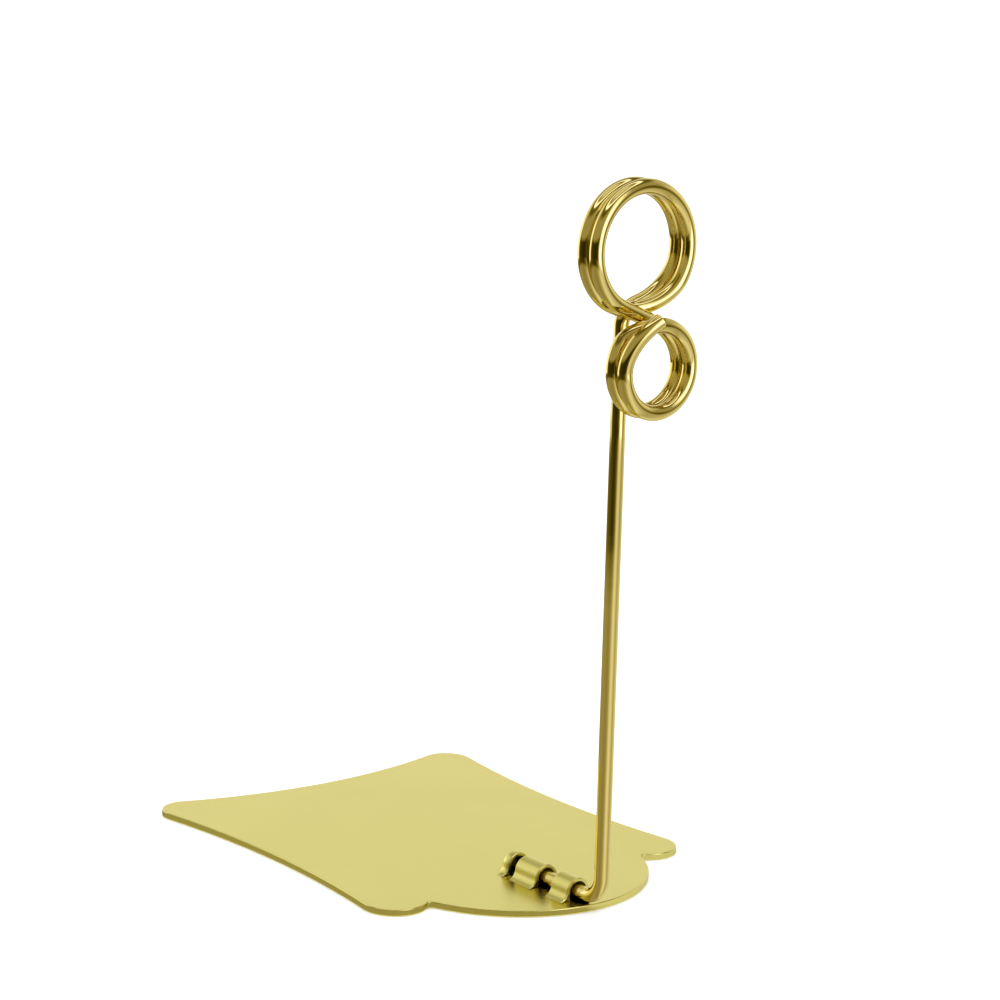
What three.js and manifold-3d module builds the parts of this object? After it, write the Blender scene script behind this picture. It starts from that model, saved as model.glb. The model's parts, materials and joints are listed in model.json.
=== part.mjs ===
// Table number holder: a stamped sheet-metal foot and one bent wire that ends in a two-ring card clip.
//
// Millimetres, +Z up. The origin is the centre of the foot's underside, the front (the side that the
// rings face) is -Y, and +X is to the right when the holder is seen from the front.
//
// The foot plate has three loops pressed up out of its own sheet. The wire's foot lies in the front two,
// and the stem folds sideways about it for storage. The last loop is closed behind, like a hood.

import * as THREE from 'three';
import { mergeVertices } from 'three/addons/utils/BufferGeometryUtils.js';
import Module from 'manifold-3d';

// ---------------------------------------------------------------- driving dimensions

// foot plate
const PLATE_THICKNESS = 1.4;
const BULGE = { x: 0, y: -22.6, r: 28.5 };          // the semicircular front
const SHOULDER = { x: 32.4, y: -27.1, r: 6.6 };     // rounded front corners, left and right
const BACK_LOBE = { x: 34.7, y: 45.6, r: 5.5 };     // rounded back corners, left and right
const NOTCH_RADIUS = 1.2;                           // inside corner between bulge and shoulder
const SIDE_RADIUS = 220;                            // hollow of the long sides
const BACK_RADIUS = 105;                            // hollow of the back edge
const OUTLINE_SEGMENTS = 10;

// wire
const WIRE_DIAMETER = 3;
const WIRE_SIDES = 12;
const WIRE_STEP = 1.4;                              // length of one facet along the wire
const STEM_X = -1.6;                                // the stem stands a little left of the centre line
const STEM_Y = -54;                                 // and just past the front of the plate
const FOOT_REACH = 23.2;                            // from the stem's axis back to the wire's first end
const FOOT_CLEARANCE = 0.08;                        // between the wire and the plate's upper face
const HEEL_RADIUS = 5;                              // bend from the foot up into the stem
const NECK_RADIUS = 4.5;                            // bend from the stem into the upper ring

// clip rings; x is measured from the stem's axis, radii are those of the wire's centre line
const UPPER_RING = { x: -0.95, z: 132.9, r: 11.75 };
const LOWER_RING = { x: 0.72, z: 110.4, r: 8.35 };
const NECK_START = 116.7;                           // height at which the stem starts to lean forward
const HEAD_TURN = 3;                                // degrees that the rings are turned about the stem

// The wire comes forward from one turn to the next. Each turn's y is measured from the stem's axis.
// Upper ring: degrees from the ring's right side, anticlockwise as seen from the front.
const UPPER_REAR_TURN = { y: -3.1, to: -10 };       // the lean of the neck ends here
const UPPER_FRONT_TURN = { y: -6.33, from: 262, to: 328 };
// Crossing: millimetres along it.
const CROSSING = { y: -5.88, from: 6.6, to: 10 };
// Lower ring: degrees travelled clockwise from where the crossing meets it.
const LOWER_REAR_TURN = { y: -6.45, from: 0, to: 78 };
const LOWER_FRONT_TURN = { y: -9.65, from: 285, to: 339 };
const TIP = { y: -13, from: 604, to: 719 };         // the wire ends before it is this far forward
const TAIL = { from: 620.5, r: 12.3, length: 10.2 };  // the last stretch, bent less than the ring

// loops on the plate, front to rear; their places are measured back from the stem's axis, and each has
// a punched window in front of it
const LOOPS = [
  { start: 7.1, length: 5.3, window: 3.2 },
  { start: 17.2, length: 7, window: 1.4 },
  { start: 26.3, length: 2.8, window: 1.9 },
];
const LOOP_BORE_RADIUS = 1.65;
const LOOP_WALL = 1.1;
const LOOP_ROOT_FILLET = 2;
const HOOD_WALL = 1;                                // closes the rear of the last loop
const LOOP_SEGMENTS = 8;
const SLIT_WIDTH = 0.4;                             // shear cut across both ends of each loop
const WINDOW_WIDTH = 4;

const CUT_MARGIN = 1;                               // by which cutters stand out of what they cut
const CENTRE_LINE_SAMPLES = 4000;                   // for measuring the length along the wire

const QUARTER = Math.PI / 2;
const HINGE_HEIGHT = PLATE_THICKNESS + FOOT_CLEARANCE + WIRE_DIAMETER / 2;

// ---------------------------------------------------------------- solids

const wasm = await Module();
wasm.setup();

function toSolid(geometry) {
  const bare = geometry.index ? geometry.toNonIndexed() : geometry.clone();
  bare.deleteAttribute('normal');
  bare.deleteAttribute('uv');
  const merged = mergeVertices(bare, 1e-4);
  return new wasm.Manifold(new wasm.Mesh({
    numProp: 3,
    vertProperties: new Float32Array(merged.attributes.position.array),
    triVerts: new Uint32Array(merged.index.array),
  }));
}

function toGeometry(solid) {
  const mesh = solid.getMesh();
  const geometry = new THREE.BufferGeometry();
  geometry.setAttribute('position', new THREE.BufferAttribute(mesh.vertProperties.slice(), 3));
  geometry.setIndex(new THREE.BufferAttribute(mesh.triVerts.slice(), 1));
  geometry.computeVertexNormals();
  return geometry;
}

// A profile drawn in x and z, made into a bar that runs along Y from y0 to y1.
function barAlongY(profile, y0, y1, curveSegments) {
  const geometry = new THREE.ExtrudeGeometry(profile, { depth: y1 - y0, bevelEnabled: false, curveSegments });
  geometry.rotateX(QUARTER);
  geometry.translate(0, y1, 0);
  return toSolid(geometry);
}

// ---------------------------------------------------------------- foot plate

// The centre of a circle of the given radius that touches circles a and b from outside, on the
// right-hand side of the way from a to b.
function hollowBetween(a, b, radius) {
  const dx = b.x - a.x;
  const dy = b.y - a.y;
  const distance = Math.hypot(dx, dy);
  const fromA = radius + a.r;
  const fromB = radius + b.r;
  const along = (distance ** 2 + fromA ** 2 - fromB ** 2) / (2 * distance);
  const aside = Math.sqrt(fromA ** 2 - along ** 2);
  return {
    x: a.x + (dx * along + dy * aside) / distance,
    y: a.y + (dy * along - dx * aside) / distance,
    r: radius,
  };
}

const bearing = (from, to) => Math.atan2(to.y - from.y, to.x - from.x);
const mirrored = (circle) => ({ ...circle, x: -circle.x });

// The outline is a closed chain of arcs that touch: five round corners, with a hollow after each.
function plateOutline() {
  const corners = [BULGE, SHOULDER, BACK_LOBE, mirrored(BACK_LOBE), mirrored(SHOULDER)];
  const radii = [NOTCH_RADIUS, SIDE_RADIUS, BACK_RADIUS, SIDE_RADIUS, NOTCH_RADIUS];
  const count = corners.length;
  const following = (i) => corners[(i + 1) % count];
  const hollows = corners.map((corner, i) => hollowBetween(corner, following(i), radii[i]));
  const outline = new THREE.Shape();
  corners.forEach((corner, i) => {
    const before = hollows[(i + count - 1) % count];
    const after = hollows[i];
    const next = following(i);
    outline.absarc(corner.x, corner.y, corner.r, bearing(corner, before), bearing(corner, after), false);
    outline.absarc(after.x, after.y, after.r, bearing(after, corner), bearing(after, next), true);
  });
  outline.closePath();
  return outline;
}

// Outer section of a loop: an arch around the wire, with a fillet down to the plate on each side.
function archSection() {
  const radius = LOOP_BORE_RADIUS + LOOP_WALL;
  const rise = HINGE_HEIGHT - PLATE_THICKNESS - LOOP_ROOT_FILLET;
  const reach = Math.sqrt((radius + LOOP_ROOT_FILLET) ** 2 - rise ** 2);
  const tilt = Math.atan2(rise, reach);
  const filletZ = PLATE_THICKNESS + LOOP_ROOT_FILLET;
  const section = new THREE.Shape();
  section.moveTo(-reach, PLATE_THICKNESS / 2);
  section.absarc(-reach, filletZ, LOOP_ROOT_FILLET, -QUARTER, tilt, false);
  section.absarc(0, HINGE_HEIGHT, radius, Math.PI + tilt, -tilt, true);
  section.absarc(reach, filletZ, LOOP_ROOT_FILLET, Math.PI - tilt, 3 * QUARTER, false);
  section.lineTo(reach, PLATE_THICKNESS / 2);
  section.closePath();
  return { section, reach };
}

// Inside of a loop: the wire's bore, open downwards through the plate.
function tunnelSection() {
  const section = new THREE.Shape();
  section.moveTo(-LOOP_BORE_RADIUS, -CUT_MARGIN);
  section.lineTo(LOOP_BORE_RADIUS, -CUT_MARGIN);
  section.absarc(0, HINGE_HEIGHT, LOOP_BORE_RADIUS, 0, Math.PI, false);
  section.closePath();
  return section;
}

// A rectangle in the plate, centred on x = 0, from y0 to y1, with its front end rounded where asked.
function rectangle(width, y0, y1, roundFront = false) {
  const half = width / 2;
  const shape = new THREE.Shape();
  if (roundFront) {
    shape.absarc(0, y0 + half, half, Math.PI, 2 * Math.PI, false);
  } else {
    shape.moveTo(-half, y0);
    shape.lineTo(half, y0);
  }
  shape.lineTo(half, y1);
  shape.lineTo(-half, y1);
  shape.closePath();
  return shape;
}

// A cutter that goes right through the plate.
function plateCutter(shape) {
  const geometry = new THREE.ExtrudeGeometry(shape, {
    depth: PLATE_THICKNESS + 2 * CUT_MARGIN,
    bevelEnabled: false,
    curveSegments: LOOP_SEGMENTS / 2,
  });
  geometry.translate(0, 0, -CUT_MARGIN);
  return toSolid(geometry);
}

const endOf = (loop) => loop.start + loop.length;
const isHood = (loop) => loop === LOOPS[LOOPS.length - 1];

// The windows and shear cuts around the loops, with y measured back from the stem's axis.
function plateCuts(slitLength) {
  const inFront = LOOPS.flatMap((loop, i) => [
    rectangle(WINDOW_WIDTH, loop.start - loop.window, loop.start, i === 0),
    rectangle(slitLength, loop.start - SLIT_WIDTH, loop.start),
  ]);
  const behind = LOOPS.filter((loop) => !isHood(loop)).map((loop) =>
    rectangle(slitLength, endOf(loop), endOf(loop) + SLIT_WIDTH));
  return [...inFront, ...behind].map(plateCutter);
}

function basePlate() {
  const sheet = new THREE.ExtrudeGeometry(plateOutline(), {
    depth: PLATE_THICKNESS,
    bevelEnabled: false,
    curveSegments: OUTLINE_SEGMENTS,
  });
  const { section, reach } = archSection();
  let solid = toSolid(sheet).translate([-STEM_X, -STEM_Y, 0]);
  for (const cutter of plateCuts(2 * reach)) {
    solid = solid.subtract(cutter);
  }
  for (const loop of LOOPS) {
    solid = solid.add(barAlongY(section, loop.start, endOf(loop), LOOP_SEGMENTS));
  }
  for (const loop of LOOPS) {
    const y0 = loop.start - SLIT_WIDTH;
    const y1 = endOf(loop) + (isHood(loop) ? -HOOD_WALL : SLIT_WIDTH);
    solid = solid.subtract(barAlongY(tunnelSection(), y0, y1, LOOP_SEGMENTS));
  }
  solid = solid.translate([STEM_X, STEM_Y, 0]);
  return toGeometry(solid);
}

// ---------------------------------------------------------------- wire

const point = (x, y, z) => new THREE.Vector3(x, y, z);
const smooth = (value, from, to) => THREE.MathUtils.smoothstep((value - from) / (to - from), 0, 1);
const degrees = THREE.MathUtils.degToRad;
const inDegrees = THREE.MathUtils.radToDeg;
const UPWARDS = point(0, 0, 1);

function onRing(ring, angle, y) {
  return point(ring.x + ring.r * Math.cos(angle), y, ring.z + ring.r * Math.sin(angle));
}

// A stretch on a ring, seen from the front: it starts at the angle `from` and turns through `sweep`
// (positive is anticlockwise). `depth` gives the wire's y for each angle.
function ringStretch(ring, from, sweep, depth) {
  return {
    length: Math.abs(sweep) * ring.r,
    at(s) {
      const angle = from + Math.sign(sweep) * s / ring.r;
      return onRing(ring, angle, depth(angle));
    },
  };
}

function straight(a, b) {
  return { length: a.distanceTo(b), at: (s) => a.clone().lerp(b, s / a.distanceTo(b)) };
}

// The share of the way from one turn's y to the next one's that the wire has come at a given place.
const comeForward = (turn, next, place) => (next.y - turn.y) * smooth(place, next.from, next.to);

// Where the inner tangent of the two rings leaves the upper one and meets the lower one.
function innerTangent(upper, lower) {
  const apart = Math.hypot(lower.x - upper.x, lower.z - upper.z);
  const line = Math.atan2(lower.z - upper.z, lower.x - upper.x);
  const heading = line + Math.asin((upper.r + lower.r) / apart);
  return { leaveAngle: heading - QUARTER + 2 * Math.PI, meetAngle: heading + QUARTER };
}

// The wire's centre line, from its end in the loops to its end in front of the lower ring.
function wireStretches() {
  const foot = straight(point(0, FOOT_REACH, HINGE_HEIGHT), point(0, HEEL_RADIUS, HINGE_HEIGHT));
  const heel = {
    length: HEEL_RADIUS * QUARTER,
    at(s) {
      const turned = s / HEEL_RADIUS;
      const y = HEEL_RADIUS * (1 - Math.sin(turned));
      return point(0, y, HINGE_HEIGHT + HEEL_RADIUS * (1 - Math.cos(turned)));
    },
  };

  // The neck's centre is a neck radius right of the stem, where its arc touches the upper ring.
  const across = NECK_RADIUS - UPPER_RING.x;
  const down = Math.sqrt((NECK_RADIUS + UPPER_RING.r) ** 2 - across ** 2);
  const neckZ = UPPER_RING.z - down;
  const joinAngle = Math.atan2(-down, across);
  const neckSweep = -joinAngle;
  const ringPart = UPPER_RING.r * (degrees(UPPER_REAR_TURN.to) - joinAngle);
  const leanLength = neckZ - NECK_START + NECK_RADIUS * neckSweep + ringPart;
  const lean = (s) => UPPER_REAR_TURN.y * smooth(s, 0, leanLength);
  const stem = straight(point(0, 0, HINGE_HEIGHT + HEEL_RADIUS), point(0, 0, NECK_START));
  const stemTop = { length: neckZ - NECK_START, at: (s) => point(0, lean(s), NECK_START + s) };
  const neck = {
    length: NECK_RADIUS * neckSweep,
    at(s) {
      const angle = Math.PI - s / NECK_RADIUS;
      const x = NECK_RADIUS * (1 + Math.cos(angle));
      return point(x, lean(stemTop.length + s), neckZ + NECK_RADIUS * Math.sin(angle));
    },
  };

  // Upper ring, anticlockwise: rear turn, step forward across the bottom, front turn.
  const { leaveAngle, meetAngle } = innerTangent(UPPER_RING, LOWER_RING);
  const beforeRing = stemTop.length + neck.length;
  const upperDepth = (angle) => {
    const entering = lean(beforeRing + UPPER_RING.r * (angle - joinAngle));
    return entering + comeForward(UPPER_REAR_TURN, UPPER_FRONT_TURN, inDegrees(angle));
  };
  const upper = ringStretch(UPPER_RING, joinAngle, leaveAngle + 2 * Math.PI - joinAngle, upperDepth);

  // The crossing runs straight from the bottom left of the upper ring to the top right of the lower one.
  const leave = upper.at(upper.length);
  const meet = onRing(LOWER_RING, meetAngle, UPPER_FRONT_TURN.y);
  const length = leave.distanceTo(meet);
  const crossing = {
    length,
    at(s) {
      const forward = comeForward(UPPER_FRONT_TURN, CROSSING, s);
      return leave.clone().lerp(meet, s / length).add(point(0, forward, 0));
    },
  };

  // Lower ring, clockwise and in front of the crossing: rear turn, step forward over the crossing's end,
  // front turn, then the tail on a wider arc that touches the ring.
  const lowerDepth = (turned) =>
    CROSSING.y +
    comeForward(CROSSING, LOWER_REAR_TURN, turned) +
    comeForward(LOWER_REAR_TURN, LOWER_FRONT_TURN, turned) +
    comeForward(LOWER_FRONT_TURN, TIP, turned);
  const tailAngle = meetAngle - degrees(TAIL.from);
  const lower = ringStretch(LOWER_RING, meetAngle, tailAngle - meetAngle, (angle) =>
    lowerDepth(inDegrees(meetAngle - angle)));
  const tailArc = {
    x: LOWER_RING.x + (LOWER_RING.r - TAIL.r) * Math.cos(tailAngle),
    z: LOWER_RING.z + (LOWER_RING.r - TAIL.r) * Math.sin(tailAngle),
    r: TAIL.r,
  };
  const tail = ringStretch(tailArc, tailAngle, -TAIL.length / TAIL.r, (angle) =>
    lowerDepth(TAIL.from + inDegrees(tailAngle - angle) * TAIL.r / LOWER_RING.r));

  const head = [stemTop, neck, upper, crossing, lower, tail].map(({ length, at }) => ({
    length,
    at: (s) => at(s).applyAxisAngle(UPWARDS, degrees(HEAD_TURN)),
  }));
  return [foot, heel, stem, ...head];
}

class WireCentreLine extends THREE.Curve {
  constructor() {
    super();
    this.stretches = wireStretches();
    this.span = this.stretches.reduce((sum, stretch) => sum + stretch.length, 0);
    this.arcLengthDivisions = CENTRE_LINE_SAMPLES;
  }

  getPoint(t) {
    let left = t * this.span;
    for (const stretch of this.stretches) {
      if (left <= stretch.length) return stretch.at(left);
      left -= stretch.length;
    }
    const last = this.stretches[this.stretches.length - 1];
    return last.at(last.length);
  }
}

function clipWire() {
  const centreLine = new WireCentreLine();
  const section = new THREE.Shape();
  section.absarc(0, 0, WIRE_DIAMETER / 2, 0, 2 * Math.PI, false);
  return new THREE.ExtrudeGeometry(section, {
    steps: Math.round(centreLine.getLength() / WIRE_STEP),
    extrudePath: centreLine,
    curveSegments: WIRE_SIDES / 2,
  });
}

// ---------------------------------------------------------------- the holder

const platedSheet = new THREE.MeshStandardMaterial({ color: 0xdbd186, metalness: 1, roughness: 0.22 });
const platedWire = new THREE.MeshStandardMaterial({ color: 0xc9b45e, metalness: 1, roughness: 0.14 });

const holder = new THREE.Group();

const plate = new THREE.Mesh(basePlate(), platedSheet);
plate.name = 'base_plate';
holder.add(plate);

// everything that folds about the loops' axis
const swinging = new THREE.Group();
swinging.position.set(STEM_X, STEM_Y, 0);
const wire = new THREE.Mesh(clipWire(), platedWire);
wire.name = 'clip_wire';
swinging.add(wire);
holder.add(swinging);

export default holder;
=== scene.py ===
"""Looks of the table number holder: a brass-plated plate and wire on a pale studio floor.

Lengths are millimetres unless a comment says metres, in the CAD frame: origin at the middle of the
plate's underside, front -Y, +X to the right, +Z up. Meshes are made in metres.
"""

import json
import math

import bmesh
import bpy
import numpy as np
from mathutils import Matrix, Vector


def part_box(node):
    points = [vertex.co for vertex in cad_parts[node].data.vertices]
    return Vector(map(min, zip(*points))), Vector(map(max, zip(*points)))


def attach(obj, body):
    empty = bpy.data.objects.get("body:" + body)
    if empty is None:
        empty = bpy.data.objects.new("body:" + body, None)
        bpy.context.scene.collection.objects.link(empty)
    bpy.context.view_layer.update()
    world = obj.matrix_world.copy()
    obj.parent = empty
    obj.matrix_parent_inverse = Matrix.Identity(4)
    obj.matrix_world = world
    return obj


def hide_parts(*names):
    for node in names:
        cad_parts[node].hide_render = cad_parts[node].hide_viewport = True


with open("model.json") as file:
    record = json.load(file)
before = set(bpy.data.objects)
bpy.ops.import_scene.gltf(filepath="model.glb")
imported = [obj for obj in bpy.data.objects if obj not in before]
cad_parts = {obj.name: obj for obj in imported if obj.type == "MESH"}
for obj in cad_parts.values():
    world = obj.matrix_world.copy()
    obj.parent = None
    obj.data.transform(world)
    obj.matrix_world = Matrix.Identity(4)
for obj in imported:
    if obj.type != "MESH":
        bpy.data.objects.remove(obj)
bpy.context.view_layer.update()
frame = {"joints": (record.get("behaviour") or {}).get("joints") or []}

MM = 0.001
QUARTER = math.pi / 2
TURN = 2 * math.pi

# ---------------------------------------------------------------- dimensions, as in the CAD part

PLATE_THICKNESS = 1.4
BULGE = (0.0, -22.6, 28.5)  # x, y and radius of the outline's round corners
SHOULDER = (32.4, -27.1, 6.6)
BACK_LOBE = (34.7, 45.6, 5.5)
NOTCH_RADIUS = 1.2  # of the hollows between the corners
SIDE_RADIUS = 220.0
BACK_RADIUS = 105.0
TOP_ROUNDING = (0.22, 5)  # of the plate's edges: radius and facets
BOTTOM_ROUNDING = (0.12, 3)
OUTLINE_STEP = 0.9  # longest facet of the outline
CORNER_STEP = math.radians(7)  # and the largest turn between two facets
FACETS_PER_CORNER_STEP = 4  # at most, however long the arc is
FEWEST_FACETS = 6  # of any arc of the outline

WIRE_RADIUS = 1.5
WIRE_SIDES = 40
BEND_STEP = 0.4  # facet length along the wire where it bends
STRAIGHT_STEP = 4.0  # and where it is straight
FOOT_REACH = 23.2
FOOT_CLEARANCE = 0.08
HEEL_RADIUS = 5.0
NECK_RADIUS = 4.5
NECK_START = 116.7  # height at which the stem begins to lean forward
UPPER_RING = (-0.95, 132.9, 11.75)  # x from the stem, z and radius
LOWER_RING = (0.72, 110.4, 8.35)
HEAD_TURN = math.radians(3)  # of both rings about the stem
# y of each turn, and where the wire comes forward to it: in degrees on the upper ring, millimetres
# on the crossing, and degrees travelled from the crossing on the lower ring
UPPER_REAR_TURN = (-3.1, None, -10)
UPPER_FRONT_TURN = (-6.33, 262, 328)
CROSSING = (-5.88, 6.6, 10)
LOWER_REAR_TURN = (-6.45, 0, 78)
LOWER_FRONT_TURN = (-9.65, 285, 339)
TIP = (-13, 604, 719)
# the tail's start in degrees travelled from the crossing, its wider radius and its length
TAIL_START, TAIL_RADIUS, TAIL_LENGTH = 620.5, 12.3, 10.2
END_CHAMFER = 0.18

# start and end of each loop, back from the stem's axis, and how far before its start the window
# in the plate begins; the last loop is a hood, closed behind
LOOPS = ((7.1, 12.4, 3.2), (17.2, 24.2, 1.4), (26.3, 29.1, 1.9))
LOOP_BORE_RADIUS = 1.65
LOOP_WALL = 1.1
LOOP_ROOT_FILLET = 2.0
HOOD_WALL = 1.0
HOOD_ROUNDING = (1.3, 8)  # of the hood's rear edge: radius and facets
RIM_ROUNDING = (0.24, 5)  # of the loops' other ends
BORE_FLARE, FLARE_FACETS = 0.45, 4
LIP_ROUNDING, LIP_FACETS = PLATE_THICKNESS / 3, 5  # of the bore's edges under the plate
FILLET_SINK = 0.003  # the fillets run out just below the plate's face
FILLET_FACETS, ARCH_FACETS = 10, 36
SLIT_WIDTH = 0.4
WINDOW_WIDTH = 4.0
NOSE_FACETS = 16  # of the first window's round front end
CUT_ROUNDING, CUT_FACETS = 0.1, 3  # of the upper edges of windows and slits
CUT_MARGIN = 1.0  # by which cutters stand out of what they cut

SHARP_ABOVE = math.radians(32)  # edges that turn more than this are shaded hard

# where the stem stands and the wire's foot lies; a box is its low and its high corner, in metres
HINGE_HEIGHT = PLATE_THICKNESS + FOOT_CLEARANCE + WIRE_RADIUS
STEM_X = Vector(frame["joints"][0]["pos_m"]).x / MM
STEM_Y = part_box("clip_wire")[1].y / MM - FOOT_REACH
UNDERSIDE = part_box("base_plate")[0].z / MM

# ---------------------------------------------------------------- mesh helpers


def new_object(name, points, faces, unit=MM):
    """A mesh object from points in that unit, as a rule millimetres."""
    mesh = bpy.data.meshes.new(name)
    mesh.from_pydata([tuple(float(c) * unit for c in p) for p in points], [], faces)
    mesh.validate()
    obj = bpy.data.objects.new(name, mesh)
    bpy.context.scene.collection.objects.link(obj)
    return obj


def loft_faces(levels, count, capped=True):
    """Quads between rings of `count` points each, and an n-gon on both ends."""
    faces = []
    for level in range(levels - 1):
        a, b = level * count, (level + 1) * count
        for i in range(count):
            j = (i + 1) % count
            faces.append((a + i, a + j, b + j, b + i))
    if capped:
        faces.append(tuple(reversed(range(count))))
        faces.append(tuple(range((levels - 1) * count, levels * count)))
    return faces


def outward(obj):
    """Makes the faces of a closed mesh point outwards."""
    mesh = bmesh.new()
    mesh.from_mesh(obj.data)
    bmesh.ops.recalc_face_normals(mesh, faces=mesh.faces)
    mesh.to_mesh(obj.data)
    mesh.free()


def closed_bar(name, sections):
    """A closed bar through sections that have equally many points."""
    points = [point for section in sections for point in section]
    bar = new_object(name, points, loft_faces(len(sections), len(sections[0])))
    outward(bar)
    return bar


def combine(obj, other, operation):
    """Exact boolean of obj with other; other is used up."""
    modifier = obj.modifiers.new(operation, "BOOLEAN")
    modifier.operation = operation
    modifier.solver = "EXACT"
    modifier.object = other
    evaluated = obj.evaluated_get(bpy.context.evaluated_depsgraph_get())
    mesh = bpy.data.meshes.new_from_object(evaluated)
    obj.modifiers.clear()
    obj.data = mesh
    bpy.data.objects.remove(other)


def shade(obj):
    """Smooth faces between hard edges, and flat faces kept flat."""
    obj.data.polygons.foreach_set("use_smooth", [True] * len(obj.data.polygons))
    obj.data.set_sharp_from_angle(angle=SHARP_ABOVE)
    modifier = obj.modifiers.new("weighted_normals", "WEIGHTED_NORMAL")
    modifier.keep_sharp = True
    modifier.weight = 100


def quarter_round(radius, steps):
    """(inset, distance from the end) pairs over a rounded edge, from the end to full size."""
    angles = [QUARTER * k / steps for k in range(steps + 1)]
    return [(radius * (1 - math.sin(a)), radius * (1 - math.cos(a))) for a in angles]


# ---------------------------------------------------------------- plate


def hollow_between(a, b, radius):
    """The circle that touches a and b from outside, on the right-hand side from a to b."""
    start, way = np.array(a[:2]), np.array(b[:2]) - np.array(a[:2])
    distance = np.linalg.norm(way)
    way = way / distance
    from_a, from_b = radius + a[2], radius + b[2]
    along = (distance**2 + from_a**2 - from_b**2) / (2 * distance)
    aside = math.sqrt(from_a**2 - along**2)
    centre = start + way * along + np.array([way[1], -way[0]]) * aside
    return (centre[0], centre[1], radius)


def bearing(a, b):
    """Direction from a's centre to b's."""
    return math.atan2(b[1] - a[1], b[0] - a[0])


def mirrored(circle):
    x, y, radius = circle
    return (-x, y, radius)


def outline_arcs():
    """The plate's edge as touching arcs: (circle, first angle, sweep), anticlockwise."""
    corners = [BULGE, SHOULDER, BACK_LOBE, mirrored(BACK_LOBE), mirrored(SHOULDER)]
    radii = [NOTCH_RADIUS, SIDE_RADIUS, BACK_RADIUS, SIDE_RADIUS, NOTCH_RADIUS]
    count = len(corners)
    hollows = [
        hollow_between(corners[i], corners[(i + 1) % count], radii[i])
        for i in range(count)
    ]
    arcs = []
    for i, corner in enumerate(corners):
        before, after, following = hollows[i - 1], hollows[i], corners[(i + 1) % count]
        first = bearing(corner, before)
        arcs.append((corner, first, (bearing(corner, after) - first) % TURN))
        first = bearing(after, corner)
        arcs.append((after, first, -((first - bearing(after, following)) % TURN)))
    return arcs


def outline(inset):
    """The plate's edge moved inwards; every inset gives the same number of points."""
    points = []
    for (x, y, radius), first, sweep in outline_arcs():
        moved = radius - math.copysign(inset, sweep)
        by_angle = abs(sweep) / CORNER_STEP
        by_length = abs(sweep) * radius / OUTLINE_STEP
        by_length = min(by_length, FACETS_PER_CORNER_STEP * by_angle)
        steps = max(FEWEST_FACETS, math.ceil(by_length), math.ceil(by_angle))
        for k in range(steps):
            angle = first + sweep * k / steps
            points.append((x + moved * math.cos(angle), y + moved * math.sin(angle)))
    return points


def plate_sheet():
    """The flat plate, still without loops."""
    bottom = [(i, UNDERSIDE + r) for i, r in quarter_round(*BOTTOM_ROUNDING)]
    top = [(i, PLATE_THICKNESS - r) for i, r in quarter_round(*TOP_ROUNDING)]
    return closed_bar("plate", [[(x, y, z) for x, y in outline(i)] for i, z in bottom + top[::-1]])


def arc_points(x, z, radius, first, last, steps):
    angles = np.linspace(first, last, steps + 1)
    return [(x + radius * math.cos(a), z + radius * math.sin(a)) for a in angles]


def arch_profile(inset):
    """Outer section of a loop in x and z: a fillet, the arch over the wire, a fillet."""
    radius = LOOP_BORE_RADIUS + LOOP_WALL
    fillet_z = PLATE_THICKNESS + LOOP_ROOT_FILLET - FILLET_SINK
    rise = HINGE_HEIGHT - fillet_z
    reach = math.sqrt((radius + LOOP_ROOT_FILLET) ** 2 - rise**2)
    tilt = math.atan2(rise, reach)
    fillet = LOOP_ROOT_FILLET + inset
    core = PLATE_THICKNESS / 2
    return (
        [(-reach, core)]
        + arc_points(-reach, fillet_z, fillet, -QUARTER, tilt, FILLET_FACETS)
        + arc_points(0, HINGE_HEIGHT, radius - inset, math.pi + tilt, -tilt, ARCH_FACETS)[1:]
        + arc_points(reach, fillet_z, fillet, math.pi - tilt, 3 * QUARTER, FILLET_FACETS)[1:]
        + [(reach, core)]
    )


def bore_profile(flare):
    """Inside of a loop in x and z: the wire's bore, open downwards through the plate."""
    half = LOOP_BORE_RADIUS + flare
    lip = [(half + i, UNDERSIDE + r) for i, r in quarter_round(LIP_ROUNDING, LIP_FACETS)]
    right = [(lip[0][0], UNDERSIDE - CUT_MARGIN)] + lip
    left = [(-x, z) for x, z in reversed(right)]
    return right + arc_points(0, HINGE_HEIGHT, half, 0, math.pi, ARCH_FACETS) + left


def bar_along_y(name, stations):
    """A closed bar through (y, profile) stations."""
    return closed_bar(name, [[(x, y, z) for x, z in profile] for y, profile in stations])


def loop_arch(start, end, hood):
    """A loop as a solid arch on the plate, its ends rounded."""
    front = quarter_round(*RIM_ROUNDING)
    rear = quarter_round(*HOOD_ROUNDING) if hood else front
    stations = [(start + r, arch_profile(i)) for i, r in front]
    stations += [(end - r, arch_profile(i)) for i, r in rear[::-1]]
    return bar_along_y("loop", stations)


def tunnel(start, end, hood):
    """A cutter for the bore of a loop, flared where it comes out; a hood's bore ends blind."""
    flare = quarter_round(BORE_FLARE, FLARE_FACETS)
    wide = bore_profile(BORE_FLARE)
    stations = [(start - SLIT_WIDTH, wide)]
    stations += [(start + BORE_FLARE - i, bore_profile(BORE_FLARE - r)) for i, r in flare]
    if hood:
        stations.append((end - HOOD_WALL, bore_profile(0)))
    else:
        stations += [(end - BORE_FLARE + i, bore_profile(BORE_FLARE - r)) for i, r in flare[::-1]]
        stations.append((end + SLIT_WIDTH, wide))
    return bar_along_y("tunnel", stations)


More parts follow.
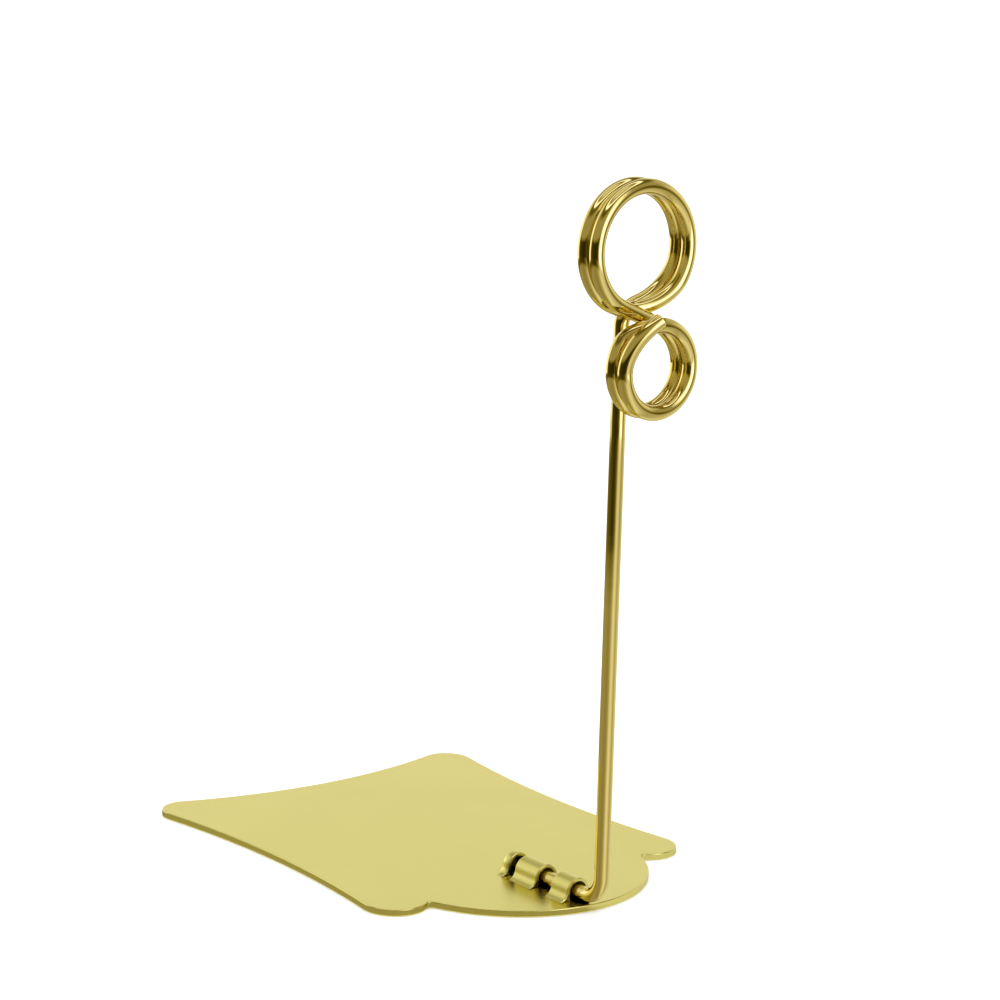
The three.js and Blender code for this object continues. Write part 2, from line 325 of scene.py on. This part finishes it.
def widened(points, by):
    """A closed anticlockwise outline moved outwards, with its corners kept sharp."""
    p = np.array(points, float)
    into, out = p - np.roll(p, 1, axis=0), np.roll(p, -1, axis=0) - p
    into /= np.linalg.norm(into, axis=1, keepdims=True)
    out /= np.linalg.norm(out, axis=1, keepdims=True)
    normal_in = np.c_[into[:, 1], -into[:, 0]]
    normal_out = np.c_[out[:, 1], -out[:, 0]]
    share = 1 + np.sum(normal_in * normal_out, axis=1, keepdims=True)
    return p + by * (normal_in + normal_out) / share


def plate_cutter(points):
    """A cutter through the plate that leaves a rounded upper edge."""
    levels = [(0, UNDERSIDE - CUT_MARGIN)]
    levels += [(CUT_ROUNDING - i, PLATE_THICKNESS - r)
               for i, r in quarter_round(CUT_ROUNDING, CUT_FACETS)[::-1]]
    levels.append((CUT_ROUNDING, PLATE_THICKNESS + CUT_MARGIN))
    return closed_bar("cutter", [[(x, y, z) for x, y in widened(points, by)] for by, z in levels])


def front_cut(start, window, slit_half, rounded):
    """Outline of the window and the slit in front of a loop; a rounded window has a round end."""
    half = WINDOW_WIDTH / 2
    slit = start - SLIT_WIDTH
    nose = [(-half, start - window), (half, start - window)]
    if rounded:
        nose = [(half * math.cos(a), start - window + half + half * math.sin(a))
                for a in np.linspace(-math.pi, 0, NOSE_FACETS + 1)]
    return nose + [(half, slit), (slit_half, slit), (slit_half, start),
                   (-slit_half, start), (-slit_half, slit), (-half, slit)]


def rear_cut(end, slit_half):
    """Outline of the slit behind a loop."""
    return [(-slit_half, end), (slit_half, end), (slit_half, end + SLIT_WIDTH),
            (-slit_half, end + SLIT_WIDTH)]


def base_plate():
    """The stamped plate with its windows, slits and pressed-up loops."""
    plate = plate_sheet()
    slit_half = arch_profile(0)[-1][0]
    tools = []
    for start, end, window in LOOPS:
        first, hood = start == LOOPS[0][0], start == LOOPS[-1][0]
        cuts = [front_cut(start, window, slit_half, rounded=first)]
        if not hood:
            cuts.append(rear_cut(end, slit_half))
        tools += [(plate_cutter(points), "DIFFERENCE") for points in cuts]
        tools.append((loop_arch(start, end, hood), "UNION"))
        tools.append((tunnel(start, end, hood), "DIFFERENCE"))
    for tool, operation in tools:
        tool.location = (STEM_X * MM, STEM_Y * MM, 0)
        combine(plate, tool, operation)
    plate.name = "plated_base_plate"
    shade(plate)
    return plate


# ---------------------------------------------------------------- wire


def smooth(value, start, end):
    """From 0 at the start to 1 at the end, levelling off at both."""
    t = min(max((value - start) / (end - start), 0.0), 1.0)
    return t * t * (3 - 2 * t)


def forward(turn, following, place):
    """How far the wire has come from one turn's y to the next one's at a given place."""
    return (following[0] - turn[0]) * smooth(place, *following[1:])


def straight(a, b):
    a, b = np.array(a, float), np.array(b, float)
    length = np.linalg.norm(b - a)
    return length, STRAIGHT_STEP, lambda s: a + (b - a) * s / length


def ring_stretch(ring, first, sweep, depth):
    """Round a ring as seen from the front; depth gives y for each angle."""
    x, z, radius = ring

    def at(s):
        angle = first + math.copysign(s / radius, sweep)
        return np.array([x + radius * math.cos(angle), depth(angle), z + radius * math.sin(angle)])

    return abs(sweep) * radius, BEND_STEP, at


def wire_stretches():
    """(length, step, point at a length) of each stretch, from the foot to the tail."""
    foot = straight((0, FOOT_REACH, HINGE_HEIGHT), (0, HEEL_RADIUS, HINGE_HEIGHT))

    def heel_at(s):
        turned = s / HEEL_RADIUS
        return np.array([0, HEEL_RADIUS * (1 - math.sin(turned)),
                         HINGE_HEIGHT + HEEL_RADIUS * (1 - math.cos(turned))])

    heel = (HEEL_RADIUS * QUARTER, BEND_STEP, heel_at)
    stem = straight((0, 0, HINGE_HEIGHT + HEEL_RADIUS), (0, 0, NECK_START))

    upper_x, upper_z, upper_r = UPPER_RING
    lower_x, lower_z, lower_r = LOWER_RING
    across = NECK_RADIUS - upper_x
    down = math.sqrt((NECK_RADIUS + upper_r) ** 2 - across**2)
    neck_z = upper_z - down
    join = math.atan2(-down, across)
    neck_length = -join * NECK_RADIUS
    before_ring = neck_z - NECK_START + neck_length
    lean_length = before_ring + upper_r * (math.radians(UPPER_REAR_TURN[2]) - join)

    def lean(s):
        return UPPER_REAR_TURN[0] * smooth(s, 0, lean_length)

    def stem_top_at(s):
        return np.array([0, lean(s), NECK_START + s])

    def neck_at(s):
        angle = math.pi - s / NECK_RADIUS
        return np.array([NECK_RADIUS * (1 + math.cos(angle)), lean(neck_z - NECK_START + s),
                         neck_z + NECK_RADIUS * math.sin(angle)])

    line = (lower_x - upper_x, lower_z - upper_z)
    heading = math.atan2(line[1], line[0]) + math.asin((upper_r + lower_r) / math.hypot(*line))
    leave, meet = heading - QUARTER + TURN, heading + QUARTER

    def upper_depth(angle):
        entering = lean(before_ring + upper_r * (angle - join))
        return entering + forward(UPPER_REAR_TURN, UPPER_FRONT_TURN, math.degrees(angle))

    def lower_depth(turned):
        steps = zip((CROSSING, LOWER_REAR_TURN, LOWER_FRONT_TURN),
                    (LOWER_REAR_TURN, LOWER_FRONT_TURN, TIP))
        return CROSSING[0] + sum(forward(turn, following, turned) for turn, following in steps)

    upper = ring_stretch(UPPER_RING, join, leave + TURN - join, upper_depth)
    leave_at = upper[2](upper[0])
    meet_at = np.array([lower_x + lower_r * math.cos(meet), UPPER_FRONT_TURN[0],
                        lower_z + lower_r * math.sin(meet)])
    span = np.linalg.norm(meet_at - leave_at)

    def crossing_at(s):
        step = forward(UPPER_FRONT_TURN, CROSSING, s)
        return leave_at + (meet_at - leave_at) * s / span + (0, step, 0)

    tail_angle = meet - math.radians(TAIL_START)
    lower = ring_stretch(LOWER_RING, meet, tail_angle - meet,
                         lambda angle: lower_depth(math.degrees(meet - angle)))
    inwards = lower_r - TAIL_RADIUS
    tail_arc = (lower_x + inwards * math.cos(tail_angle), lower_z + inwards * math.sin(tail_angle),
                TAIL_RADIUS)
    tail = ring_stretch(tail_arc, tail_angle, -TAIL_LENGTH / TAIL_RADIUS, lambda angle: lower_depth(
        TAIL_START + math.degrees(tail_angle - angle) * TAIL_RADIUS / lower_r))

    head = [
        (neck_z - NECK_START, BEND_STEP, stem_top_at),
        (neck_length, BEND_STEP, neck_at),
        upper,
        (span, BEND_STEP, crossing_at),
        lower,
        tail,
    ]
    turn = np.array(Matrix.Rotation(HEAD_TURN, 3, "Z"))
    turned = [(length, step, lambda s, at=at: turn @ at(s)) for length, step, at in head]
    return [foot, heel, stem] + turned


def wire_line():
    """Points of the wire's centre line, its two ends included."""
    points = []
    for length, step, at in wire_stretches():
        count = math.ceil(length / step)
        points += [at(length * k / count) for k in range(count)]
    points.append(at(length))
    return np.array(points) + (STEM_X, STEM_Y, 0)


def swept_bar(name, line, radii, sides):
    """A round bar along a line, its UV map holding metres along and round the wire."""
    ahead = np.gradient(line, axis=0)
    ahead /= np.linalg.norm(ahead, axis=1, keepdims=True)
    side = np.cross(ahead[0], (0, 0, 1.0))
    side /= np.linalg.norm(side)
    sections = []
    angles = np.arange(sides) * TURN / sides
    for here, way, radius in zip(line, ahead, radii):
        side = side - way * np.dot(side, way)
        side /= np.linalg.norm(side)
        other = np.cross(way, side)
        sections.append([here + radius * (math.cos(a) * side + math.sin(a) * other)
                         for a in angles])
    bar = closed_bar(name, sections)
    along = np.concatenate([[0], np.cumsum(np.linalg.norm(np.diff(line, axis=0), axis=1))])
    uv = bar.data.uv_layers.new(name="wire")
    for polygon in bar.data.polygons:
        corners = [bar.data.loops[k].vertex_index for k in polygon.loop_indices]
        wraps = len(corners) == 4 and {0, sides - 1} <= {c % sides for c in corners}
        for k, corner in zip(polygon.loop_indices, corners):
            step = corner % sides
            if wraps and step == 0:
                step = sides
            uv.data[k].uv = (along[corner // sides] * MM, step / sides * TURN * WIRE_RADIUS * MM)
    return bar


def clip_wire():
    """The bent wire, with its cut ends broken by a small chamfer."""
    line = wire_line()
    first, last = line[1] - line[0], line[-2] - line[-1]
    inner = [line[0] + first / np.linalg.norm(first) * END_CHAMFER,
             line[-1] + last / np.linalg.norm(last) * END_CHAMFER]
    line = np.vstack([line[:1], inner[:1], line[1:-1], inner[1:], line[-1:]])
    radii = np.full(len(line), WIRE_RADIUS)
    radii[[0, -1]] = WIRE_RADIUS - END_CHAMFER
    wire = swept_bar("plated_clip_wire", line, radii, WIRE_SIDES)
    shade(wire)
    return wire


# ---------------------------------------------------------------- materials

# painted shade inside the loops' bores: its near-black colour, then where it sets in
PAINTED_BORE_SHADE = (0.06, 0.045, 0.02, 1)
SHADE_FROM, SHADE_TO = 0.03, 0.1  # the painted shade on the loops' insides sets in between these heights above the plate
TONE_RANGE, TONE_SCALE = (0.985, 1.015), 60.0  # uneven colour of the plating
SMEAR_RANGE, SMEAR_SCALE = (0.96, 1.05), 40.0  # and uneven roughness
NOISE_RANGE = (0.2, 0.8)  # nearly all values of a noise texture


class Nodes:
    """A node tree that is built with short calls."""

    def __init__(self, tree):
        self.tree = tree
        self.tree.nodes.clear()

    def add(self, kind, **settings):
        """A new node; each setting is one of its properties or the value of an input."""
        node = self.tree.nodes.new(kind)
        for name, value in settings.items():
            if hasattr(node, name):
                setattr(node, name, value)
            else:
                node.inputs[name.replace("_", " ")].default_value = value
        return node

    def link(self, source, target):
        self.tree.links.new(source, target)

    def feed(self, values, sockets):
        """Links the values that are outputs of other nodes, and sets the ones that are numbers."""
        for value, socket in zip(values, sockets):
            if isinstance(value, bpy.types.NodeSocket):
                self.link(value, socket)
            else:
                socket.default_value = value

    def place(self):
        """The place on the object, in metres."""
        return self.add("ShaderNodeTexCoord").outputs["Object"]

    def axes(self, place):
        node = self.add("ShaderNodeSeparateXYZ")
        self.link(place, node.inputs[0])
        return node.outputs

    def maths(self, operation, *values):
        node = self.add("ShaderNodeMath", operation=operation)
        self.feed(values, node.inputs)
        return node.outputs[0]

    def ranged(self, value, limits, results=(0, 1), interpolation="SMOOTHSTEP"):
        """The first result below the limits, the second above them, and in between a blend."""
        node = self.add("ShaderNodeMapRange", interpolation_type=interpolation)
        self.feed((value, *limits, *results), node.inputs)
        return node.outputs[0]

    def all_of(self, conditions):
        """Product of blends, each given by its value, its limits in millimetres and its results."""
        blends = [self.ranged(value, [n * MM for n in limits], results)
                  for value, limits, results in conditions]
        product = blends[0]
        for blend in blends[1:]:
            product = self.maths("MULTIPLY", product, blend)
        return product

    def mixed(self, factor, a, b):
        node = self.add("ShaderNodeMix", data_type="FLOAT")
        self.feed((factor, a, b), (node.inputs[0], *node.inputs[2:4]))
        return node.outputs[0]

    def mixed_colour(self, factor, a, b):
        node = self.add("ShaderNodeMix", data_type="RGBA")
        self.feed((factor, a, b), (node.inputs[0], *node.inputs[6:8]))
        return node.outputs[2]


def new_material(name):
    material = bpy.data.materials.new(name)
    material.use_nodes = True
    return material, Nodes(material.node_tree)


def painted_shade_in_bores(nodes, solid):
    """1 on the inside of the loops, where shade is painted, and 0 elsewhere."""
    x, y, z = nodes.axes(solid)
    squares = []
    for axis, centre in ((x, STEM_X), (z, HINGE_HEIGHT)):
        off = nodes.maths("SUBTRACT", axis, centre * MM)
        squares.append(nodes.maths("MULTIPLY", off, off))
    distance = nodes.maths("SQRT", nodes.maths("ADD", *squares))
    edge = LOOP_BORE_RADIUS + BORE_FLARE
    blind_end = STEM_Y + LOOPS[-1][1] - HOOD_WALL
    return nodes.all_of((
        (distance, (edge - BORE_FLARE / 2, edge), (1, 0)),
        (z, (PLATE_THICKNESS + SHADE_FROM, PLATE_THICKNESS + SHADE_TO), (0, 1)),
        (y, (blind_end, blind_end + HOOD_WALL / 2), (1, 0)),
    ))


def plated(name, gold, edge_tint, roughness, waviness, grain, grain_map=None, painted_shade=None):
    """Bright brass plating: colour and gloss vary a little, over long waves and a fine grain.

    Waviness is a scale and a depth, and each layer of grain a scale, a stretch and a depth; the
    depths are metres. The grain follows a UV map if one is named. Where the mask for painted
    shade gives 1, the colour is darkened to painted shade.
    """
    material, nodes = new_material(name)
    shader = nodes.add("ShaderNodeBsdfPrincipled", Metallic=1.0, Specular_Tint=edge_tint)
    nodes.link(shader.outputs[0], nodes.add("ShaderNodeOutputMaterial").inputs[0])
    solid = nodes.place()
    grain_place = solid
    if grain_map:
        grain_place = nodes.add("ShaderNodeUVMap", uv_map=grain_map).outputs[0]

    def noise(source, scale, stretch=(1, 1, 1), detail=2.0):
        mapping = nodes.add("ShaderNodeMapping")
        mapping.inputs["Scale"].default_value = stretch
        nodes.link(source, mapping.inputs["Vector"])
        texture = nodes.add("ShaderNodeTexNoise", Scale=scale, Detail=detail)
        nodes.link(mapping.outputs[0], texture.inputs["Vector"])
        return texture.outputs[0]

    tone = nodes.ranged(noise(solid, TONE_SCALE), NOISE_RANGE, interpolation="LINEAR")
    dark, light = [(*[c * factor for c in gold], 1) for factor in TONE_RANGE]
    colour = nodes.mixed_colour(tone, dark, light)
    # shade is painted into the colour inside the loops' bores
    if painted_shade:
        colour = nodes.mixed_colour(painted_shade(nodes, solid), colour, PAINTED_BORE_SHADE)
    nodes.link(colour, shader.inputs["Base Color"])

    smears = nodes.ranged(noise(solid, SMEAR_SCALE, detail=1.0), NOISE_RANGE,
                          [roughness * factor for factor in SMEAR_RANGE], interpolation="LINEAR")
    nodes.link(smears, shader.inputs["Roughness"])

    wave_scale, wave_depth = waviness
    layers = [(noise(solid, wave_scale), wave_depth)]
    layers += [(noise(grain_place, scale, stretch), depth) for scale, stretch, depth in grain]
    normal = None
    for height, depth in layers:
        bump = nodes.add("ShaderNodeBump", Strength=1.0, Distance=depth)
        nodes.link(height, bump.inputs["Height"])
        if normal is not None:
            nodes.link(normal, bump.inputs["Normal"])
        normal = bump.outputs[0]
    nodes.link(normal, shader.inputs["Normal"])
    return material


plate = base_plate()
wire = clip_wire()
plate_finish = plated(
    "plated_sheet", gold=(0.80, 0.72, 0.18), edge_tint=(0.866, 0.84, 0.70, 1), roughness=0.25,
    waviness=(35.0, 6e-5), grain=[(2500.0, (1, 1, 1), 2e-6), (900.0, (1, 12, 1), 1.5e-6)],
    # painted shade inside the loops' bores
    painted_shade=painted_shade_in_bores,
)
wire_finish = plated(
    "plated_wire", gold=(0.78, 0.63, 0.17), edge_tint=(0.93, 0.93, 0.75, 1), roughness=0.055,
    waviness=(90.0, 6e-5), grain=[(1500.0, (0.06, 1, 1), 2e-6)], grain_map="wire",
)
for obj, finish, body, node, slot in (
    (plate, plate_finish, "foot", "base_plate", "plated_sheet"),
    (wire, wire_finish, "stem", "clip_wire", "plated_wire"),
):
    obj.data.materials.clear()
    obj.data.materials.append(finish)
    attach(obj, body)
    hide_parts(node)

# ---------------------------------------------------------------- studio

scene = bpy.context.scene
scene.view_settings.view_transform = "Standard"

LIGHT_STRENGTH = 1.5
FLOOR_SIZE = 40.0  # metres
FLOOR_PAINT = (0.9, 0.9, 0.9, 1)
# colour of the shadow painted on the floor under the plate's windows
PAINTED_SHADOW = (0.02, 0.015, 0.01, 1)
UNDER_HALF_WIDTH = 5.0  # of the shadow painted on the floor under the windows
UNDER_EDGE = 1.0  # over which it blends into the floor

# What the plating reflects: a dome and a table top that only mirror-like rays see, in metres from
# the stem. Brightness is set by direction round the stem: degrees from the front left, positive
# towards the front right.
SURROUNDINGS_AZIMUTH = math.radians(-127)
DOME_RADIUS = 6.0
DOME_SEGMENTS, DOME_ROWS = 96, 24
TABLE_LIFT = 0.0002
SKY = ((-180, 1.05), (-150, 1.13), (-130, 1.5), (-108, 1.4), (-97, 0.3), (-86, 0.08), (-60, 0.05),
       (-20, 0.03), (8, 0.05), (18, 0.25), (30, 1.4), (45, 2.6), (58, 2.0), (72, 0.5), (84, 0.10),
       (92, 0.4), (108, 0.9), (150, 1.0), (180, 1.05))
TABLE_FAR = ((-180, 0.8), (-150, 0.4), (-129, 0.18), (-80, 0.10), (-45, 0.05), (-25, 0.045),
             (0, 0.15), (15, 0.45), (30, 0.85), (50, 0.85), (80, 0.42), (100, 0.6), (129, 0.8),
             (180, 0.8))
TABLE_NEAR = ((-180, 0.6), (-129, 0.4), (-80, 0.40), (-30, 0.33), (0, 0.48), (15, 0.78), (35, 1.0),
              (55, 0.75), (75, 0.5), (100, 0.7), (129, 0.9), (180, 0.6))
NEAR_TO_FAR = (0.26, 0.36)
FAR_TO_SKY = (0.46, 0.60)  # farther out the table mirrors the sky's brightness
# In the dome, limits and places are sines of the elevation. Above the second of these limits the
# sky is at least as bright as GLOW, and round the stem it is dimmed by FALLOFF.
GLOW, GLOW_LIMITS = 0.40, (0.08, 0.26)
FALLOFF, FALLOFF_LIMITS = 0.62, (0.28, 0.50)
# Overhead the brightness goes by height alone.
OVERHEAD = ((0.0, 0.3), (0.76, 0.12), (0.82, 0.2), (0.86, 2.2), (0.90, 1.0), (0.93, 0.25),
            (0.98, 0.9), (1.0, 0.8))
OVERHEAD_LIMITS = (0.60, 0.76)
# The plating mirrors dim things warmer than bright ones, and highlights paler.
DIM_TINT, BRIGHT_TINT, HIGHLIGHT_TINT = (1, 0.82, 0.12, 1), (1, 1, 1.2, 1), (1, 1, 1.8, 1)
DIM_TO_BRIGHT, BRIGHT_TO_HIGHLIGHT = (0.0, 0.78), (1.1, 2.0)  # by brightness


def shadow_under_windows(nodes, stem_x, stem_y):
    """1 on the ground under the plate's windows, where a shadow is painted because no light gets
    in, and 0 elsewhere.
    """
    x, y, _ = nodes.axes(nodes.place())
    near, far = LOOPS[0][0] - LOOPS[0][2], LOOPS[-1][1]
    middle, half_length = stem_y + (near + far) / 2, (far - near) / 2 - UNDER_EDGE
    conditions = []
    for axis, centre, half in ((x, stem_x, UNDER_HALF_WIDTH), (y, middle, half_length)):
        off = nodes.maths("SUBTRACT", axis, centre * MM)
        conditions.append((nodes.maths("ABSOLUTE", off), (half, half + UNDER_EDGE), (1, 0)))
    return nodes.all_of(conditions)


def floor_material():
    material, nodes = new_material("floor")
    paint = nodes.add("ShaderNodeBsdfDiffuse")
    # the floor's colour carries a painted shadow under the windows
    colour = nodes.mixed_colour(shadow_under_windows(nodes, STEM_X, STEM_Y), FLOOR_PAINT, PAINTED_SHADOW)
    nodes.link(colour, paint.inputs["Color"])
    nodes.link(paint.outputs[0], nodes.add("ShaderNodeOutputMaterial").inputs[0])
    return material


def dome_and_table():
    """Points in metres and faces of a round table top and a dome that stands on its edge."""
    points = [(0, 0, TABLE_LIFT)]
    for row in range(DOME_ROWS):
        elevation = QUARTER * row / DOME_ROWS
        radius = DOME_RADIUS * math.cos(elevation)
        for k in range(DOME_SEGMENTS):
            angle = TURN * k / DOME_SEGMENTS
            points.append((radius * math.cos(angle), radius * math.sin(angle),
                           TABLE_LIFT + DOME_RADIUS * math.sin(elevation)))
    points.append((0, 0, TABLE_LIFT + DOME_RADIUS))
    dome = loft_faces(DOME_ROWS, DOME_SEGMENTS, capped=False)
    faces = [tuple(1 + i for i in face) for face in dome]
    last_row = 1 + (DOME_ROWS - 1) * DOME_SEGMENTS
    for k in range(DOME_SEGMENTS):
        following = (k + 1) % DOME_SEGMENTS
        faces.append((0, 1 + k, 1 + following))
        faces.append((last_row + k, last_row + following, len(points) - 1))
    return points, faces


def surroundings_material():
    material, nodes = new_material("surroundings")
    material.cycles.emission_sampling = "NONE"
    x, y, z = nodes.axes(nodes.place())
    squares = nodes.maths("ADD", nodes.maths("POWER", x, 2.0), nodes.maths("POWER", y, 2.0))
    distance = nodes.maths("SQRT", squares)
    turned = nodes.maths("SUBTRACT", nodes.maths("ARCTAN2", y, x), SURROUNDINGS_AZIMUTH)
    around = nodes.maths("FRACT", nodes.maths("ADD", nodes.maths("DIVIDE", turned, TURN), 0.5))
    height = nodes.maths("DIVIDE", z, DOME_RADIUS)

    def plan(stops, place):
        """Brightness along a place from 0 to 1; a ramp holds values up to 1, so it is scaled."""
        peak = max(value for _, value in stops)
        ramp = nodes.add("ShaderNodeValToRGB")
        elements = ramp.color_ramp.elements
        while len(elements) < len(stops):
            elements.new(0.5)
        for element, (position, value) in zip(elements, stops):
            element.position = position
            element.color = (*[value / peak] * 3, 1)
        nodes.link(place, ramp.inputs[0])
        return nodes.maths("MULTIPLY", ramp.outputs[0], peak)

    def round_plan(stops):
        return plan([(degrees / 360 + 0.5, value) for degrees, value in stops], around)

    sky_round = round_plan(SKY)
    table = nodes.mixed(nodes.ranged(distance, NEAR_TO_FAR), round_plan(TABLE_NEAR),
                        round_plan(TABLE_FAR))
    table = nodes.mixed(nodes.ranged(distance, FAR_TO_SKY), table, sky_round)
    # the reflected table top is dark where the floor has the painted shadow
    table = nodes.mixed(shadow_under_windows(nodes, 0, 0), table, 0.0)

    falloff = nodes.mixed(nodes.ranged(height, FALLOFF_LIMITS), 1.0, FALLOFF)
    glow = nodes.maths("MULTIPLY", nodes.ranged(height, GLOW_LIMITS), GLOW)
    sky = nodes.maths("MAXIMUM", nodes.maths("MULTIPLY", sky_round, falloff), glow)
    sky = nodes.mixed(nodes.ranged(height, OVERHEAD_LIMITS), sky, plan(OVERHEAD, height))
    in_dome = nodes.maths("GREATER_THAN", height, 2 * TABLE_LIFT / DOME_RADIUS)
    brightness = nodes.mixed(in_dome, table, sky)

    tint = nodes.mixed_colour(nodes.ranged(brightness, DIM_TO_BRIGHT), DIM_TINT, BRIGHT_TINT)
    tint = nodes.mixed_colour(nodes.ranged(brightness, BRIGHT_TO_HIGHLIGHT), tint, HIGHLIGHT_TINT)
    light = nodes.add("ShaderNodeEmission")
    nodes.link(tint, light.inputs["Color"])
    nodes.link(brightness, light.inputs["Strength"])
    nodes.link(light.outputs[0], nodes.add("ShaderNodeOutputMaterial").inputs[0])
    return material


half = FLOOR_SIZE / 2
floor_corners = [(-half, -half, 0), (half, -half, 0), (half, half, 0), (-half, half, 0)]
floor = new_object("floor", floor_corners, [(0, 1, 2, 3)], unit=1)
floor.data.materials.append(floor_material())

world = bpy.data.worlds.new("studio")
scene.world = world
world.use_nodes = True
nodes = Nodes(world.node_tree)
light = nodes.add("ShaderNodeBackground", Color=(1, 1, 1, 1), Strength=LIGHT_STRENGTH)
nodes.link(light.outputs[0], nodes.add("ShaderNodeOutputWorld").inputs[0])

surroundings = new_object("surroundings", *dome_and_table(), unit=1)
surroundings.data.materials.append(surroundings_material())
surroundings.location = (STEM_X * MM, STEM_Y * MM, 0)
for ray in ("camera", "diffuse", "shadow", "transmission", "volume_scatter"):
    setattr(surroundings, "visible_" + ray, False)

# ---------------------------------------------------------------- camera

CAMERA_AT = Vector((-0.38813, -0.51516, 0.20776))  # metres
CAMERA_YAW = math.radians(37.866)
CAMERA_PITCH = math.radians(11.716)
CAMERA_ROLL = math.radians(1.601)
CAMERA_LENS, SENSOR_WIDTH = 115.2, 36.0
FAR_CLIP = 100.0  # metres

ahead = Vector((math.sin(CAMERA_YAW) * math.cos(CAMERA_PITCH),
                math.cos(CAMERA_YAW) * math.cos(CAMERA_PITCH),
                -math.sin(CAMERA_PITCH)))
right = Vector((math.cos(CAMERA_YAW), -math.sin(CAMERA_YAW), 0))
up = right.cross(ahead)
level = Matrix((right, up, -ahead)).transposed()
camera = bpy.data.objects.new("camera", bpy.data.cameras.new("camera"))
camera.data.lens = CAMERA_LENS
camera.data.sensor_width = SENSOR_WIDTH
camera.data.clip_end = FAR_CLIP
camera.matrix_world = Matrix.Translation(CAMERA_AT) @ (
    level @ Matrix.Rotation(CAMERA_ROLL, 3, "Z")).to_4x4()
scene.collection.objects.link(camera)
scene.camera = camera
